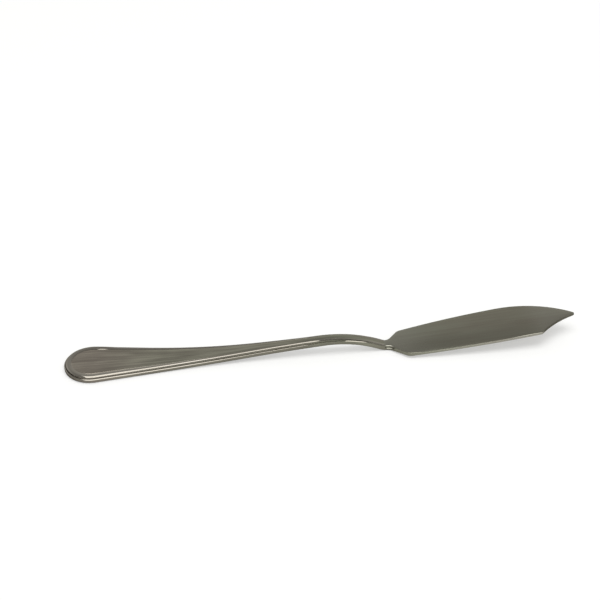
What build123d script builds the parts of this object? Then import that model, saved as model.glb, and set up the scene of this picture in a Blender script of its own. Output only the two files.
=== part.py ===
from build123d import *
import os
from math import asin, atan2, cos, hypot, radians, sin, tan

# A fish knife pressed from one strip of stainless steel, lying on its underside.
# Millimetres and degrees. +X runs from the tail of the handle to the tip of the blade,
# +Y is the side of the blade's back, +Z is up.
# The blank is its plan outline and its side profile, each drawn once and crossed with the other.
# It is then divided where a cutler names its regions: handle, neck and blade.
# Two raised threads run round the border of the handle and along both sides of the neck.

# Plan of the handle and the neck
tail_radius = 10.55
taper_length = 58.9      # from the centre of the tail's round to where flank and neck lines cross
flank_blend = 37.4       # length of the curve on each side of that crossing
neck_length = 16.55      # the stretch with parallel sides, down to the bend of the heel
neck_width = 4.6
landing = 0.6            # straight run between the end of that curve and the end of the handle

# Plan of the blade: a run is measured from the end of the neck, a reach from the centre line
blade_length = 76.8
back_flare_run = 1.95
back_shoulder_run = 5.9
back_shoulder_reach = 6.8
crown_run = 49.8
crown_reach = 13.05
crown_lead = 3.6         # the round of the crown starts this far on the heel's side of it
tip_reach = 3.1
edge_flare_run = 1.8
edge_shoulder_run = 8.75
edge_shoulder_reach = 8.3
edge_bow = 0.65           # how far the cutting edge bellies out of a straight line
notch_setback = 15.55    # from the tip back to the corner where the notch starts
notch_reach = 6.5
notch_bow = 1.2          # how far the notch hollows in from a straight line

# Rounded corners of the plan
back_flare_radius = 3.0
back_shoulder_radius = 3.0
edge_flare_radius = 3.5
edge_shoulder_radius = 3.5
notch_radius = 1.0
tip_radius = 0.8

# Side profile of the underside: the handle lies flat, rises to an arch over the neck,
# falls to the heel and rises again along the blade
bend_from_tail = 51.8
rise_angle = 4.7
neck_angle = 21.2
blade_angle = 5.4
bend_radius = 460.0
arch_radius = 42.0
heel_radius = 6.3
heel_lead = 0.15         # the middle of the heel's bend lies this far before the end of the neck
heel_lift = 0.1          # the heel clears the surface by this much while the tail lies flat

# Thickness square to the underside, at the tail, the three bends of the profile and the tip
tail_thickness = 2.4
bend_thickness = 2.3
arch_thickness = 2.7
heel_thickness = 1.9
tip_thickness = 1.0
edge_round = 0.4         # round on every long edge of the blank

# Border: a ledge along the outline carries the outer thread, and the inner one runs above its step.
# Widths at the tail and along the neck, depths and heights at the tail, the arch and the heel
ledge_width = 0.75
neck_ledge_width = 0.55
inner_thread_width = 1.2
neck_inner_thread_width = 0.5
thread_margin = 0.12     # between a thread and the edge or step beside it
ledge_depth = 0.95
arch_ledge_depth = 0.85
heel_ledge_depth = 0.3
thread_height = 0.22
arch_thread_height = 0.18
heel_thread_height = 0.1

# Places worked out from the sizes above
handle_length = tail_radius + taper_length + flank_blend + landing
neck_end = handle_length + neck_length
tip_x = neck_end + blade_length
heel_x = neck_end - heel_lead
clear_reach = 2 * (tail_radius + crown_reach + edge_shoulder_reach)


def stem_side(tail_inset, neck_inset):
    """Flank of the handle, moved in by the two insets: the line that touches the tail's round
    and crosses the neck's line. Gives its first point, the crossing and the blend's radius."""
    round_radius = tail_radius - tail_inset
    half_neck = neck_width / 2 - neck_inset
    slope = asin(round_radius / hypot(taper_length, half_neck)) - atan2(half_neck, taper_length)
    start = (tail_radius + round_radius * sin(slope), round_radius * cos(slope))
    crossing = (tail_radius + taper_length, half_neck)
    return start, crossing, flank_blend / tan(slope / 2)


def mirrored(point):
    """The same point on the other side of the knife's centre line."""
    return (point[0], -point[1])


def stem_face(tail_inset, neck_inset, end_x):
    """Plan of the handle and neck, moved in by the insets and cut square at end_x."""
    start, crossing, blend = stem_side(tail_inset, neck_inset)
    end = (end_x, crossing[1])
    back = FilletPolyline(start, crossing, end, radius=[blend])
    edge = FilletPolyline(mirrored(start), mirrored(crossing), mirrored(end), radius=[blend])
    tail = ThreePointArc(mirrored(start), (tail_inset, 0), start)
    return make_face([back, Line(end, mirrored(end)), edge, tail])


def knife_face():
    """Plan of the whole knife: tail, flanks, neck, flares, back, notch and cutting edge."""
    start, crossing, blend = stem_side(0, 0)
    half_neck = neck_width / 2
    tip = (tip_x, tip_reach)
    crown_drop = crown_reach - tip_reach
    crown_radius = ((blade_length - crown_run) ** 2 + crown_drop ** 2) / (2 * crown_drop)
    crown = (neck_end + crown_run, crown_reach)
    lead_angle = asin(crown_lead / crown_radius)
    lead = (crown[0] - crown_lead, crown_reach - crown_radius * (1 - cos(lead_angle)))
    back_shoulder = (neck_end + back_shoulder_run, back_shoulder_reach)
    edge_shoulder = (neck_end + edge_shoulder_run, -edge_shoulder_reach)
    notch = (tip_x - notch_setback, -notch_reach)

    back_flare = (neck_end + back_flare_run, half_neck)
    edge_flare = (neck_end + edge_flare_run, -half_neck)
    back_stem = FilletPolyline(start, crossing, back_flare, back_shoulder,
                               radius=[blend, back_flare_radius])
    edge_stem = FilletPolyline(mirrored(start), mirrored(crossing), edge_flare, edge_shoulder,
                               radius=[blend, edge_flare_radius])
    tail = ThreePointArc(mirrored(start), (0, 0), start)
    back = TangentArc(lead, back_shoulder, tangent=(-cos(lead_angle), -sin(lead_angle)))
    front = ThreePointArc(lead, crown, tip)
    hollow = SagittaArc(tip, notch, -notch_bow)
    edge = SagittaArc(notch, edge_shoulder, edge_bow)
    face = make_face([tail, back_stem, back, front, hollow, edge, edge_stem]).face()

    corners = [(back_shoulder, back_shoulder_radius), (edge_shoulder, edge_shoulder_radius),
               (notch, notch_radius), (tip, tip_radius)]
    for place, radius in corners:
        corner = face.vertices().sort_by_distance((*place, 0))[0]
        face = face.fillet_2d(radius, [corner])
    return face


def underside_corners():
    """Where the straight runs of the underside would meet. The flat of the handle lies on the
    surface and the heel's round just clears it."""
    mean = radians(blade_angle - neck_angle) / 2
    half = radians(blade_angle + neck_angle) / 2
    heel_z = heel_lift + heel_radius * (1 - cos(mean) / cos(half))
    rise = tan(radians(rise_angle))
    fall = tan(radians(neck_angle))
    arch_x = (heel_z + fall * heel_x + rise * bend_from_tail) / (rise + fall)
    tip_z = heel_z + (tip_x - heel_x) * tan(radians(blade_angle))
    return [(-tail_radius, 0), (bend_from_tail, 0), (arch_x, rise * (arch_x - bend_from_tail)),
            (heel_x, heel_z), (tip_x, tip_z)]


def profile_line(lifts):
    """The underside moved up, square to itself, by a lift at each of its five corners."""
    corners = underside_corners()
    angles = [0, 0, radians(rise_angle), -radians(neck_angle), radians(blade_angle)]
    angles.append(angles[-1])
    points = []
    for (x, z), lift, before, after in zip(corners, lifts, angles, angles[1:]):
        mean = (before + after) / 2
        reach = lift / cos((after - before) / 2)
        points.append((x - reach * sin(mean), z + reach * cos(mean)))
    radii = [bend_radius - lifts[1], arch_radius + lifts[2], heel_radius - lifts[3]]
    return FilletPolyline(points, radius=radii)


def profile_slab(low, high):
    """Slab between two profile lines, wider than the knife. It starts behind the tail."""
    under = profile_line(low)
    over = profile_line(high)
    ends = [Line(under @ 0, over @ 0), Line(under @ 1, over @ 1)]
    face = make_face([under, over, *ends])
    return extrude(Plane.XZ * face, amount=clear_reach, both=True)


def prism(face):
    """Upright prism on a plan face, taller than the knife both ways."""
    return extrude(face, amount=clear_reach, both=True)


def between(solid, low_x, high_x):
    """The stretch of a solid between two upright planes across the knife."""
    kept = split(solid, bisect_by=Plane.YZ.offset(low_x), keep=Keep.TOP)
    return split(kept, bisect_by=Plane.YZ.offset(high_x), keep=Keep.BOTTOM)


def border_ring(outside, inside, low, high):
    """Band of the border between two outlines of the stem and two profile lines. An outline is
    given by its insets at the tail and along the neck."""
    face = stem_face(*outside, neck_end) - stem_face(*inside, neck_end)
    return prism(face) & profile_slab(low, high)


def raised(line, heights):
    """A profile line's lifts with a height added at each corner."""
    return [lift + height for lift, height in zip(line, heights)]


def along_outline(edge):
    """True for an edge that follows the outline, and not an upright one of the plan."""
    return abs((edge % 0.5).Z) < cos(radians(45))


thickness = [tail_thickness, bend_thickness, arch_thickness, heel_thickness, tip_thickness]
flush = [0, 0, 0, 0, 0]
sharp_blank = (prism(knife_face()) & profile_slab(flush, thickness)).solid()
blank = fillet(sharp_blank.edges().filter_by(along_outline), edge_round).solid()

# The ledge is cut from the outline inwards, and the threads stand on it and on the face above it
ledge_drops = [-ledge_depth, -ledge_depth, -arch_ledge_depth, -heel_ledge_depth, -heel_ledge_depth]
thread_heights = [thread_height, thread_height, arch_thread_height, heel_thread_height, heel_thread_height]
ledge = raised(thickness, ledge_drops)
beyond = (-edge_round, -edge_round)
step = (ledge_width, neck_ledge_width)
blank -= border_ring(beyond, step, ledge, raised(thickness, thread_heights))
outer_start = (thread_margin, thread_margin)
outer_end = (ledge_width - thread_margin, neck_ledge_width - thread_margin)
inner_start = (ledge_width + thread_margin, neck_ledge_width + thread_margin)
inner_end = (inner_start[0] + inner_thread_width, inner_start[1] + neck_inner_thread_width)

pieces = {
    "handle": between(blank, -clear_reach, handle_length),
    "neck": between(blank, handle_length, neck_end),
    "blade": between(blank, neck_end, tip_x + clear_reach),
    "outer_thread": border_ring(outer_start, outer_end, ledge, raised(ledge, thread_heights)),
    "inner_thread": border_ring(inner_start, inner_end, thickness, raised(thickness, thread_heights)),
}

# The origin is the middle of the box round the knife, on the surface that it lies on
box = blank.bounding_box()
to_origin = Location((-box.center().X, -box.center().Y, -box.min.Z))

os.makedirs("parts", exist_ok=True)
for name, piece in pieces.items():
    export_step(to_origin * piece, f"parts/{name}.step")
    print(name, round(piece.volume, 2), piece.bounding_box())
print("origin in plan", box.center().X, box.center().Y, box.min.Z)
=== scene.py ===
"""Looks of a fish knife that is pressed from one strip of stainless steel.

Lengths are in millimetres and angles in degrees. In plan, x runs from the tail of the handle to the
tip of the blade, y is measured from the centre line of the handle towards the back of the blade, and
z from the surface that the knife lies on. A mesh goes into metres and the part's own frame last.
"""

from __future__ import annotations

import logging
from dataclasses import dataclass, field
from enum import Enum
from typing import Any

import bpy
import numpy as np
from mathutils import Matrix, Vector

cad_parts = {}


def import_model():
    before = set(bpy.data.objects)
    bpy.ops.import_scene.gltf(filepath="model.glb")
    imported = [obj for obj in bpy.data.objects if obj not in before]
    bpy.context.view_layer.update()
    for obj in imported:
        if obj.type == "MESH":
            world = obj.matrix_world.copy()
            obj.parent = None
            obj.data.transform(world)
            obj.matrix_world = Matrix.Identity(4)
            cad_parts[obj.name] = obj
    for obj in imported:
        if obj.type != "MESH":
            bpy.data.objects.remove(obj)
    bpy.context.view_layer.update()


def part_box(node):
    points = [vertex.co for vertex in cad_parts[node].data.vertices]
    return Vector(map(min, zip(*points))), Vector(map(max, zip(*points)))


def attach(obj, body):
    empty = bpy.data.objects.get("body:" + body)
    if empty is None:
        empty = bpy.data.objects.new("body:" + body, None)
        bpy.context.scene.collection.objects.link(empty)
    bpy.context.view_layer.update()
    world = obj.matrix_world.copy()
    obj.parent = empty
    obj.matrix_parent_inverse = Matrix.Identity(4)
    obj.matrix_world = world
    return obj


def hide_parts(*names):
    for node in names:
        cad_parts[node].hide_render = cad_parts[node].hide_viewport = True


Array = np.ndarray
LOG = logging.getLogger("fish_knife")
IMAGE_PIXELS = 600
MM = 0.001
# Points on a straight or trimmed line, on an arc, and on the round of a corner
LINE_POINTS = 200
ARC_POINTS = 400
ROUND_POINTS = 60
# Length over which the direction of a line is taken
DIRECTION_STEP = 0.01
# Points that agree to this many decimals of a millimetre become one
MERGE_DECIMALS = 4
# Sockets of a Mix node that mixes colours
MIX_SHARE = 0
MIX_FIRST = 6
MIX_SECOND = 7
MIX_RESULT = 2


class Slot(Enum):
    """Material slots of the record."""

    BLADE = "blade_steel"
    HANDLE = "handle_steel"
    THREAD = "thread_steel"


class Stretch(Enum):
    """Stretches of the outline from the tail to the end of the neck, in order."""

    ROUND = 0
    FLANK = 1
    BLEND = 2
    NECK = 3


class Level(Enum):
    """Faces of the handle and the neck that heights are measured from."""

    FIELD = 0
    LEDGE = 1
    UNDER = 2


def quarter_round(count: int) -> tuple[Array, Array]:
    """Quarter circle of radius 1 from a level face to an upright side: ways in and ways down."""
    angles = np.linspace(0.0, np.pi / 2.0, count)
    return 1.0 - np.sin(angles), 1.0 - np.cos(angles)


# The plain rounds, and the small ones at the border's step
ROUND_IN, ROUND_DOWN = quarter_round(7)
SMALL_IN, SMALL_DOWN = quarter_round(4)


def smooth_step(value: Array) -> Array:
    """S-shaped rise from 0 to 1: three times the square less twice the cube."""
    held = np.clip(value, 0.0, 1.0)
    return held * held * (3.0 - 2.0 * held)


def eased(place: Array, start: float, end: float) -> Array:
    """S-shaped rise from 0 at the start to 1 at the end."""
    return smooth_step((place - start) / (end - start))


def hump(place: Array, middle: float, half: float) -> Array:
    """S-shaped rise to 1 at the middle and fall on its other side, each over half the length."""
    return smooth_step(1.0 - np.abs(place - middle) / half)


def linear_colour(code: str) -> tuple[float, float, float, float]:
    """Turns an sRGB hex value into linear light, by the two-part curve of that standard.

    Args:
        code: Six hex digits with a leading hash sign.

    Returns:
        Red, green, blue and full alpha.
    """
    srgb = np.array([int(code[i:i + 2], 16) for i in (1, 3, 5)]) / 255.0
    linear = np.where(srgb <= 0.04045, srgb / 12.92, ((srgb + 0.055) / 1.055) ** 2.4)
    return (float(linear[0]), float(linear[1]), float(linear[2]), 1.0)


def empty_tree(owner: bpy.types.Material | bpy.types.World) -> bpy.types.NodeTree:
    """Turns on nodes and clears them.

    Args:
        owner: A material or a world.

    Returns:
        Its empty node tree.
    """
    owner.use_nodes = True
    owner.node_tree.nodes.clear()
    return owner.node_tree


def add_node(tree: bpy.types.NodeTree, kind: str, inputs: dict[Any, Any] | None = None,
             **settings: Any) -> bpy.types.Node:
    """Adds one shader node with its settings, and links or sets its inputs.

    Args:
        tree: The node tree.
        kind: The node's type name.
        inputs: For each input's name or number, an output socket to link or a value to set.
        settings: Properties of the node.

    Returns:
        The new node.
    """
    node = tree.nodes.new(kind)
    for name, value in settings.items():
        setattr(node, name, value)
    for name, value in (inputs or {}).items():
        if isinstance(value, bpy.types.NodeSocket):
            tree.links.new(value, node.inputs[name])
        else:
            node.inputs[name].default_value = value
    return node


def add_object(name: str, data: bpy.types.ID) -> bpy.types.Object:
    """Adds an object to the scene.

    Args:
        name: The object's name.
        data: Its mesh, light or camera.

    Returns:
        The new object.
    """
    made = bpy.data.objects.new(name, data)
    bpy.context.scene.collection.objects.link(made)
    return made


def unit(vector: Array) -> Array:
    """The vector brought to a length of 1."""
    return vector / np.hypot(*vector)


def arc_length(line: Array) -> Array:
    """Distance along a line of points, from its first point to each of its points."""
    steps = np.hypot(*np.diff(line, axis=0).T)
    return np.concatenate([[0.0], np.cumsum(steps)])


def at_length(line: Array, places: Array) -> Array:
    """Points of a line at the given distances along it."""
    length = arc_length(line)
    return np.stack([np.interp(places, length, line[:, axis]) for axis in (0, 1)], axis=-1)


def straight(start: Array, end: Array) -> Array:
    """Evenly spaced points on the straight line between two points."""
    return np.linspace(start, end, LINE_POINTS)


def trimmed(line: Array, head: float, tail: float) -> Array:
    """A line without its first and last lengths, in evenly spaced points."""
    return at_length(line, np.linspace(head, arc_length(line)[-1] - tail, LINE_POINTS))


def conic(start: Array, control: Array, end: Array, weight: float, count: int) -> Array:
    """Rational curve of degree two: (1-t)^2 A + 2wt(1-t) B + t^2 C over the sum of its weights.

    Args:
        start: The first point, A.
        control: The point B, where the tangents at both ends cross.
        end: The last point, C.
        weight: The weight w of B, which is the cosine of half the turn on a circular arc.
        count: How many points to give, with t from 0 to 1.

    Returns:
        Points of the curve.
    """
    t = np.linspace(0.0, 1.0, count)[:, None]
    shares = ((1.0 - t) ** 2, 2.0 * weight * t * (1.0 - t), t ** 2)
    return (shares[0] * start + shares[1] * control + shares[2] * end) / sum(shares)


def bowed(start: Array, end: Array, bow: float) -> Array:
    """A circular arc between two points, as a rational curve.

    Half the turn of the arc is twice the angle whose tangent is the bow over half the chord. The
    control point lies square to the chord's middle, half a chord times the tangent of half the turn
    away.

    Args:
        start: The first point.
        end: The last point.
        bow: How far the arc stands off its chord, to the left.

    Returns:
        Points of the arc.
    """
    chord = end - start
    half = 2.0 * np.arctan2(2.0 * bow, np.hypot(*chord))
    upright = np.array([-chord[1], chord[0]]) / 2.0
    control = (start + end) / 2.0 + upright * np.tan(half)
    return conic(start, control, end, float(np.cos(half)), ARC_POINTS)


def corner_round(before: Array, after: Array, radius: float) -> tuple[float, Array]:
    """Round between two lines that meet at a corner.

    The round touches each line at radius times the tangent of half the turn from the corner. It is
    the rational curve on the crossing of the two tangents there, which is a circular arc where both
    lines are straight.

    Args:
        before: Points of the line that ends at the corner.
        after: Points of the line that starts there.
        radius: Radius of the round.

    Returns:
        The length that the round takes off each line, and the round's points.
    """
    cosine = unit(before[-1] - before[-2]) @ unit(after[1] - after[0])
    cut = radius * np.tan(np.arccos(np.clip(cosine, -1.0, 1.0)) / 2.0)
    from_start = arc_length(before)[-1] - cut
    start, start_near = at_length(before, np.array([from_start, from_start - DIRECTION_STEP]))
    end, end_near = at_length(after, np.array([cut, cut + DIRECTION_STEP]))
    along_in = unit(start - start_near)
    along_out = unit(end_near - end)
    run = np.linalg.solve(np.stack([along_in, along_out], axis=1), end - start)[0]
    half_turn = np.arccos(np.clip(along_in @ along_out, -1.0, 1.0)) / 2.0
    weight = float(np.cos(half_turn))
    return float(cut), conic(start, start + run * along_in, end, weight, ROUND_POINTS)


def rounded_chain(lines: list[Array], radii: tuple[float, ...]) -> list[Array]:
    """A chain of lines with a round at each corner.

    Args:
        lines: Points of each line, which starts where the one before it ends.
        radii: Radius at each corner, or 0 where two lines meet smoothly.

    Returns:
        Line, round, line and so on in order, with no point twice. A smooth corner's round is empty.
    """
    turns = [corner_round(before, after, radius) if radius else (0.0, before[:0])
             for before, after, radius in zip(lines, lines[1:], radii)]
    cuts = [cut for cut, _ in turns] + [0.0]
    pieces = [trimmed(lines[0], 0.0, cuts[0])]
    for line, (head, turn), tail in zip(lines[1:], turns, cuts[1:]):
        rest = trimmed(line, head, tail)
        pieces += [turn[1:-1], rest if len(turn) else rest[1:]]
    return pieces


@dataclass(frozen=True)
class SideProfile:
    """Side profile: the underside's straight runs and rounds, and thicknesses square to it."""

    tail_radius: float = 10.55
    bend_x: float = 51.8
    heel_x: float = 123.85
    tip_x: float = 200.8
    rise_angle: float = 4.7
    neck_angle: float = 21.2
    blade_angle: float = 5.4
    bend_radius: float = 460.0
    arch_radius: float = 47.0
    heel_radius: float = 6.3
    heel_lift: float = 0.1
    # At the tail, the bend, the arch, the heel and the tip
    thickness: tuple[float, ...] = (2.4, 2.3, 2.7, 1.9, 1.0)
    ledge_depth: tuple[float, ...] = (0.95, 0.95, 0.85, 0.3, 0.3)

    def corners(self) -> Array:
        """Where the straight runs of the underside would meet, with the heel's round just clear.

        Returns:
            Points in x and z behind the tail, at the bend, the arch, the heel and the tip.
        """
        rise, fall, lift = np.tan(np.radians([self.rise_angle, self.neck_angle, self.blade_angle]))
        mean = np.radians(self.blade_angle - self.neck_angle) / 2.0
        half = np.radians(self.blade_angle + self.neck_angle) / 2.0
        heel_z = self.heel_lift + self.heel_radius * (1.0 - np.cos(mean) / np.cos(half))
        arch_x = (heel_z + fall * self.heel_x + rise * self.bend_x) / (rise + fall)
        return np.array([(-self.tail_radius, 0.0), (self.bend_x, 0.0),
                         (arch_x, rise * (arch_x - self.bend_x)), (self.heel_x, heel_z),
                         (self.tip_x, heel_z + (self.tip_x - self.heel_x) * lift)])

    def line(self, lifts: Array) -> Array:
        """The underside moved up square to itself, with rounded corners.

        A corner moves along the middle of the two uprights there, by the lift over the cosine of
        half the turn.

        Args:
            lifts: How far each corner is moved up.

        Returns:
            Points of the line in x and z.
        """
        angles = np.radians([0.0, 0.0, self.rise_angle, -self.neck_angle, self.blade_angle,
                             self.blade_angle])
        mean = (angles[:-1] + angles[1:]) / 2.0
        reach = lifts / np.cos((angles[1:] - angles[:-1]) / 2.0)
        places = self.corners() + np.stack([-reach * np.sin(mean), reach * np.cos(mean)], axis=1)
        radii = (self.bend_radius - lifts[1], self.arch_radius + lifts[2],
                 self.heel_radius - lifts[3])
        runs = [straight(start, end) for start, end in zip(places, places[1:])]
        return np.concatenate(rounded_chain(runs, radii))

    def height(self, x: Array, lifts: Array) -> Array:
        """Height at x of the underside moved up by the lifts."""
        line = self.line(lifts)
        return np.interp(x, line[:, 0], line[:, 1])

    def under(self, x: Array) -> Array:
        """Height of the underside."""
        return self.height(x, np.zeros(len(self.thickness)))

    def top(self, x: Array) -> Array:
        """Height of the top face."""
        return self.height(x, np.array(self.thickness))

    def ledge_drop(self, x: Array) -> Array:
        """How far the border's ledge lies below the top face."""
        return self.top(x) - self.height(x, np.array(self.thickness) - np.array(self.ledge_depth))


@dataclass(frozen=True)
class StemPlan:
    """Plan of the handle and the neck, and the border's insets at the tail and along the neck."""

    tail_radius: float = 10.55
    taper_length: float = 58.9
    flank_blend: float = 37.4
    neck_width: float = 4.6
    handle_end: float = 107.45
    neck_end: float = 124.0
    step: tuple[float, float] = (0.7, 0.57)
    inner_thread_end: tuple[float, float] = (2.85, 1.3)
    # Bulge of the top at the tail and at the neck, and where along x it is flat across again
    crown: tuple[float, float] = (0.2, 0.1)
    flat_again: tuple[float, float] = (103.0, 113.0)
    # Where along x the border dies away
    fade_ends: tuple[float, float] = (113.0, 121.5)
    # Where along x the darker tone starts, is full, starts to thin and stays at what is left of it; its
    # thinning at the heel is a painted reflection of the bend
    tone_ends: tuple[float, float, float, float] = (85.0, 105.0, 110.0, 122.0)
    tone_left: float = 0.4
    # Stations on the round, the flank and the blend, from there to the handle's end, and on the neck
    handle_counts: tuple[int, int, int] = (56, 44, 150)
    landing_count: int = 3
    neck_count: int = 110
    # Keeps the blend's radius finite where an inset leaves no taper
    least_slope: float = 1e-5

    @property
    def blend_end(self) -> float:
        """Where the flank's blend runs into the parallel sides of the neck."""
        return self.tail_radius + self.taper_length + self.flank_blend

    def fade(self, kinds: Array, shares: Array) -> Array:
        """Share by which the border has died away: 0 on the handle, 1 at the end of the neck."""
        x = self.blend_end + shares * (self.neck_end - self.blend_end)
        return np.where(kinds == Stretch.NECK.value, eased(x, *self.fade_ends), 0.0)

    def tone(self, x: Array) -> Array:
        """Share of the darker tone: it comes in before the neck and thins out towards the heel, a painted
        reflection of the bend there.
        """
        start, full, thins, end = self.tone_ends
        return eased(x, start, full) * (1.0 - (1.0 - self.tone_left) * eased(x, thins, end))

    def flattened(self, x: Array) -> Array:
        """Share by which the neck's top is flat across again: 0 on the handle, 1 at the heel."""
        return eased(x, *self.flat_again)

    def crowned(self, x: Array, tail_inset: Array) -> Array:
        """How far the top bulges at a point: a parabola across, from the outline to the middle.

        Args:
            x: Places along the knife.
            tail_inset: Insets of the points at the tail, which give their share of the width.

        Returns:
            Heights above the side profile's top line.
        """
        along = np.clip((x - self.tail_radius) / (self.blend_end - self.tail_radius), 0.0, 1.0)
        height = self.crown[0] + (self.crown[1] - self.crown[0]) * along
        out = 1.0 - tail_inset / self.tail_radius
        return height * (1.0 - out ** 2) * (1.0 - self.flattened(x))

    def along_handle(self) -> tuple[Array, Array]:
        """Stations from the tail's middle to the end of the handle.

        Returns:
            The stretch of each station, and its share along that stretch.
        """
        shares = [np.linspace(0.0, 1.0, count, endpoint=False) for count in self.handle_counts]
        landing = np.linspace(self.blend_end, self.handle_end, self.landing_count)
        shares.append(self.neck_share(landing))
        kinds = [np.full(part.size, kind.value) for kind, part in zip(Stretch, shares)]
        return np.concatenate(kinds), np.concatenate(shares)

    def along_neck(self, end_x: float) -> tuple[Array, Array]:
        """Stretch and share of each station from the end of the handle to an x on the neck."""
        shares = self.neck_share(np.linspace(self.handle_end, end_x, self.neck_count))
        return np.full(shares.size, Stretch.NECK.value), shares

    def neck_share(self, x: Array) -> Array:
        """Share of the neck's stretch at x."""
        return (x - self.blend_end) / (self.neck_end - self.blend_end)

    def outline(self, kinds: Array, shares: Array, tail_inset: Array, neck_inset: Array) -> Array:
        """Points of the outline moved in by the insets.

        The tail is a circle round a fixed middle. The flank is the line that touches it and crosses
        the neck's line at a fixed x. An arc that starts a fixed length before the crossing and ends
        the same length after it blends the two. The share runs by angle on the circle and the arc,
        and by length on the lines.

        Args:
            kinds: Stretch of each station, as a column.
            shares: Share along the stretch, as a column.
            tail_inset: Inset at the tail, one for each point of the section.
            neck_inset: Inset along the neck, one for each point of the section.

        Returns:
            Points on the back's side, stations by section points by x and y.
        """
        radius = self.tail_radius - tail_inset
        half = self.neck_width / 2.0 - neck_inset
        slope = np.arcsin(radius / np.hypot(self.taper_length, half))
        slope = np.maximum(slope - np.arctan2(half, self.taper_length), self.least_slope)
        turn = shares * (np.pi / 2.0 + slope)
        on_round = (self.tail_radius - radius * np.cos(turn), radius * np.sin(turn))
        start = (self.tail_radius + radius * np.sin(slope), radius * np.cos(slope))
        cross_x = self.tail_radius + self.taper_length
        end = (cross_x - self.flank_blend * np.cos(slope), half + self.flank_blend * np.sin(slope))
        on_flank = tuple(a + (b - a) * shares for a, b in zip(start, end))
        bend = self.flank_blend / np.tan(slope / 2.0)
        left = slope * (1.0 - shares)
        on_blend = (self.blend_end - bend * np.sin(left), half + bend * (1.0 - np.cos(left)))
        on_neck = (self.blend_end + shares * (self.neck_end - self.blend_end), half)
        places = (on_round, on_flank, on_blend, on_neck)
        tests = [np.broadcast_to(kinds == kind.value, turn.shape) for kind in Stretch]
        axes = [np.select(tests, [np.broadcast_to(place[axis], turn.shape) for place in places])
                for axis in (0, 1)]
        return np.stack(axes, axis=-1)


@dataclass(frozen=True)
class BladePlan:
    """Plan of the blade: flares, back, crown, tip, notch and cutting edge.

    Pairs are a run from the end of the neck and a reach from the centre line.
    """

    neck_end: float = 124.0
    neck_width: float = 4.6
    length: float = 76.8
    back_flare_run: float = 1.95
    back_shoulder: tuple[float, float] = (5.9, 6.8)
    crown: tuple[float, float] = (49.8, 13.05)
    crown_lead: float = 3.6
    tip_reach: float = 3.1
    edge_flare_run: float = 1.8
    edge_shoulder: tuple[float, float] = (8.75, -8.3)
    edge_bow: float = 0.65
    notch_setback: float = 15.55
    notch_reach: float = 6.5
    notch_bow: float = 1.2
    # Rounds from the neck along the back, at the tip and back along the edge, 0 where it is smooth
    radii: tuple[float, ...] = (3.0, 3.0, 0.0, 0.8, 1.0, 3.5, 3.5)
    tip_corner: int = 3

    def point(self, run: float, reach: float) -> Array:
        """Point at a run from the end of the neck and a reach from the centre line."""
        return np.array([self.neck_end + run, reach])

    def lines(self) -> list[Array]:
        """Lines and circular arcs of the outline before their corners are rounded.

        The crown's arc is level at the crown and ends at the tip, and the arc of the back meets it
        smoothly.

        Returns:
            Points of each line, from the neck along the back to the tip and back along the edge.
        """
        half = self.neck_width / 2.0
        tip = self.point(self.length, self.tip_reach)
        drop = self.crown[1] - self.tip_reach
        crown_radius = ((self.length - self.crown[0]) ** 2 + drop ** 2) / (2.0 * drop)
        middle = self.point(self.crown[0], self.crown[1] - crown_radius)
        lead_angle = -np.arcsin(self.crown_lead / crown_radius)
        tip_angle = np.arctan2(tip[0] - middle[0], tip[1] - middle[1])
        sweep = np.linspace(lead_angle, tip_angle, ARC_POINTS)
        front = middle + crown_radius * np.stack([np.sin(sweep), np.cos(sweep)], axis=-1)
        shoulder = self.point(*self.back_shoulder)
        chord = front[0] - shoulder
        rise = np.arctan2(chord[1], chord[0])
        bow = np.hypot(*chord) / 2.0 * np.tan((rise + lead_angle) / 2.0)
        back_flare = self.point(self.back_flare_run, half)
        edge_flare = self.point(self.edge_flare_run, -half)
        edge_shoulder = self.point(*self.edge_shoulder)
        notch = self.point(self.length - self.notch_setback, -self.notch_reach)
        return [straight(self.point(0.0, half), back_flare), straight(back_flare, shoulder),
                bowed(shoulder, front[0], float(bow)), front, bowed(tip, notch, -self.notch_bow),
                bowed(notch, edge_shoulder, self.edge_bow), straight(edge_shoulder, edge_flare),
                straight(edge_flare, self.point(0.0, -half))]

    def outline(self) -> tuple[Array, Array]:
        """Both sides of the blade's outline, from the neck to the middle of the tip's round.

        Returns:
            The line along the back, and the line along the cutting edge and the notch.
        """
        pieces = rounded_chain(self.lines(), self.radii)
        place = 2 * self.tip_corner + 1
        tip = pieces[place]
        middle = len(tip) // 2
        back = np.concatenate([*pieces[:place], tip[:middle + 1]])
        edge = np.concatenate([tip[middle:], *pieces[place + 1:]])
        return back, edge[::-1]


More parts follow.
